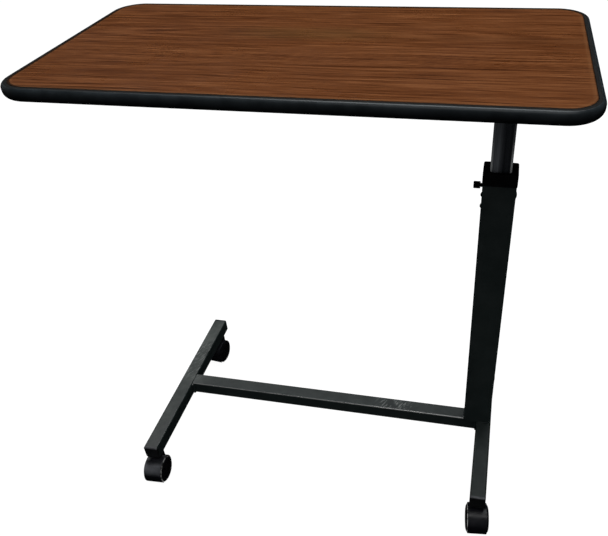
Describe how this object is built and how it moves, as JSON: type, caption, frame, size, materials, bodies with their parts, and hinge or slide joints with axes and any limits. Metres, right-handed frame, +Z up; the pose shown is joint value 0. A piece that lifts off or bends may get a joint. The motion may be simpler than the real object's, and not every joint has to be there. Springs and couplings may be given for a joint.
{
  "type": "overbed table",
  "caption": "Rolling overbed table: walnut-look laminate top with a black bumper edge on a height-adjustable offset mast and a low H-shaped castor base.",
  "frame": {"origin": "on the floor, at the middle of the whole table's plan outline", "axes": "+X along the table towards the mast end, +Y away from the user across the top, +Z up"},
  "size_m": [0.762, 0.4062, 0.8085],
  "materials": {
    "frame_steel": "black powder coat, satin",
    "mast_steel": "black, semi-gloss, lightly rubbed by the bushing",
    "zinc_steel": "zinc plated",
    "black_fasteners": "black plated",
    "collar_plastic": "moulded, fine grain",
    "cap_plastic": "moulded",
    "nylon": "smooth nylon",
    "castor_plastic": "moulded, semi-gloss",
    "wheel_plastic": "hard nylon, worn tread",
    "edge_band": "extruded vinyl, glossy",
    "walnut_laminate": "satin wood-grain laminate",
    "board_core": "particle board",
    "backing_sheet": "dull brown backing laminate"
  },
  "bodies": {
    "base": {"left_cross_leg": "frame_steel", "right_cross_leg": "frame_steel", "base_bar": "frame_steel", "column_foot_plate": "frame_steel", "outer_column": "frame_steel", "column_collar": "collar_plastic", "guide_bushing": "nylon", "bushing_screws": "black_fasteners", "glide_button": "black_fasteners", "clamp_nut": "zinc_steel", "front_left_leg_cap": "cap_plastic", "front_right_leg_cap": "cap_plastic", "rear_left_leg_cap": "cap_plastic", "rear_right_leg_cap": "cap_plastic", "front_left_castor_socket": "zinc_steel", "front_right_castor_socket": "zinc_steel", "rear_left_castor_socket": "zinc_steel", "rear_right_castor_socket": "zinc_steel"},
    "worktop": {"inner_mast": "mast_steel", "mast_foot_glide": "nylon", "mast_head_plate": "frame_steel", "bracket_bolts": "zinc_steel", "bracket_nuts": "zinc_steel", "front_support_rail": "frame_steel", "rear_support_rail": "frame_steel", "rail_end_plugs": "cap_plastic", "rail_screws": "zinc_steel", "board_core": "board_core", "walnut_laminate": "walnut_laminate", "backing_sheet": "backing_sheet", "edge_band": "edge_band"},
    "clamp_pad_carrier": {"clamp_pad": "nylon"},
    "clamp_screw": {"clamp_stem": "black_fasteners", "clamp_knob": "collar_plastic"},
    "front_left_swivel": {"front_left_castor_stem": "zinc_steel", "front_left_castor_hood": "castor_plastic", "front_left_castor_axle": "zinc_steel"},
    "front_left_left_wheel": {"front_left_castor_wheel_left": "wheel_plastic"},
    "front_left_right_wheel": {"front_left_castor_wheel_right": "wheel_plastic"},
    "front_right_swivel": {"front_right_castor_stem": "zinc_steel", "front_right_castor_hood": "castor_plastic", "front_right_castor_axle": "zinc_steel"},
    "front_right_left_wheel": {"front_right_castor_wheel_left": "wheel_plastic"},
    "front_right_right_wheel": {"front_right_castor_wheel_right": "wheel_plastic"},
    "rear_left_swivel": {"rear_left_castor_stem": "zinc_steel", "rear_left_castor_hood": "castor_plastic", "rear_left_castor_axle": "zinc_steel"},
    "rear_left_left_wheel": {"rear_left_castor_wheel_left": "wheel_plastic"},
    "rear_left_right_wheel": {"rear_left_castor_wheel_right": "wheel_plastic"},
    "rear_right_swivel": {"rear_right_castor_stem": "zinc_steel", "rear_right_castor_hood": "castor_plastic", "rear_right_castor_axle": "zinc_steel"},
    "rear_right_left_wheel": {"rear_right_castor_wheel_left": "wheel_plastic"},
    "rear_right_right_wheel": {"rear_right_castor_wheel_right": "wheel_plastic"}
  },
  "joints": [
    {"name": "table_height", "type": "slide", "parent": "base", "child": "worktop", "axis": [0, 0, 1], "range_m": [-0.0973, 0.3091]},
    {"name": "clamp_feed", "type": "slide", "parent": "base", "child": "clamp_pad_carrier", "axis": [-1, 0, 0], "range_m": [0, 0.0015]},
    {"name": "clamp_turn", "type": "hinge", "parent": "clamp_pad_carrier", "child": "clamp_screw", "pos_m": [0.2498, 0.01257, 0.604], "axis": [-1, 0, 0], "range_deg": [0, 540.3]},
    {"name": "front_left_swivel_turn", "type": "hinge", "parent": "base", "child": "front_left_swivel", "pos_m": [-0.3368, -0.15583, 0.0595], "axis": [0, 0, 1], "continuous": true},
    {"name": "front_left_left_wheel_roll", "type": "hinge", "parent": "front_left_swivel", "child": "front_left_left_wheel", "pos_m": [-0.33581, -0.1748, 0.025], "axis": [0.9986, 0.0523, 0], "continuous": true},
    {"name": "front_left_right_wheel_roll", "type": "hinge", "parent": "front_left_swivel", "child": "front_left_right_wheel", "pos_m": [-0.33581, -0.1748, 0.025], "axis": [0.9986, 0.0523, 0], "continuous": true},
    {"name": "front_right_swivel_turn", "type": "hinge", "parent": "base", "child": "front_right_swivel", "pos_m": [0.2883, -0.15583, 0.0595], "axis": [0, 0, 1], "continuous": true},
    {"name": "front_right_left_wheel_roll", "type": "hinge", "parent": "front_right_swivel", "child": "front_right_left_wheel", "pos_m": [0.29029, -0.17473, 0.025], "axis": [0.9945, 0.1045, 0], "continuous": true},
    {"name": "front_right_right_wheel_roll", "type": "hinge", "parent": "front_right_swivel", "child": "front_right_right_wheel", "pos_m": [0.29029, -0.17473, 0.025], "axis": [0.9945, 0.1045, 0], "continuous": true},
    {"name": "rear_left_swivel_turn", "type": "hinge", "parent": "base", "child": "rear_left_swivel", "pos_m": [-0.3368, 0.18097, 0.0595], "axis": [0, 0, 1], "continuous": true},
    {"name": "rear_left_left_wheel_roll", "type": "hinge", "parent": "rear_left_swivel", "child": "rear_left_left_wheel", "pos_m": [-0.33879, 0.16207, 0.025], "axis": [0.9945, -0.1045, 0], "continuous": true},
    {"name": "rear_left_right_wheel_roll", "type": "hinge", "parent": "rear_left_swivel", "child": "rear_left_right_wheel", "pos_m": [-0.33879, 0.16207, 0.025], "axis": [0.9945, -0.1045, 0], "continuous": true},
    {"name": "rear_right_swivel_turn", "type": "hinge", "parent": "base", "child": "rear_right_swivel", "pos_m": [0.2883, 0.18097, 0.0595], "axis": [0, 0, 1], "continuous": true},
    {"name": "rear_right_left_wheel_roll", "type": "hinge", "parent": "rear_right_swivel", "child": "rear_right_left_wheel", "pos_m": [0.2818, 0.16311, 0.025], "axis": [0.9397, -0.342, 0], "continuous": true},
    {"name": "rear_right_right_wheel_roll", "type": "hinge", "parent": "rear_right_swivel", "child": "rear_right_right_wheel", "pos_m": [0.2818, 0.16311, 0.025], "axis": [0.9397, -0.342, 0], "continuous": true}
  ],
  "couplings": [
    {"joint": "clamp_turn", "follows": "clamp_feed", "rad_per_m": 6283.2}
  ]
}
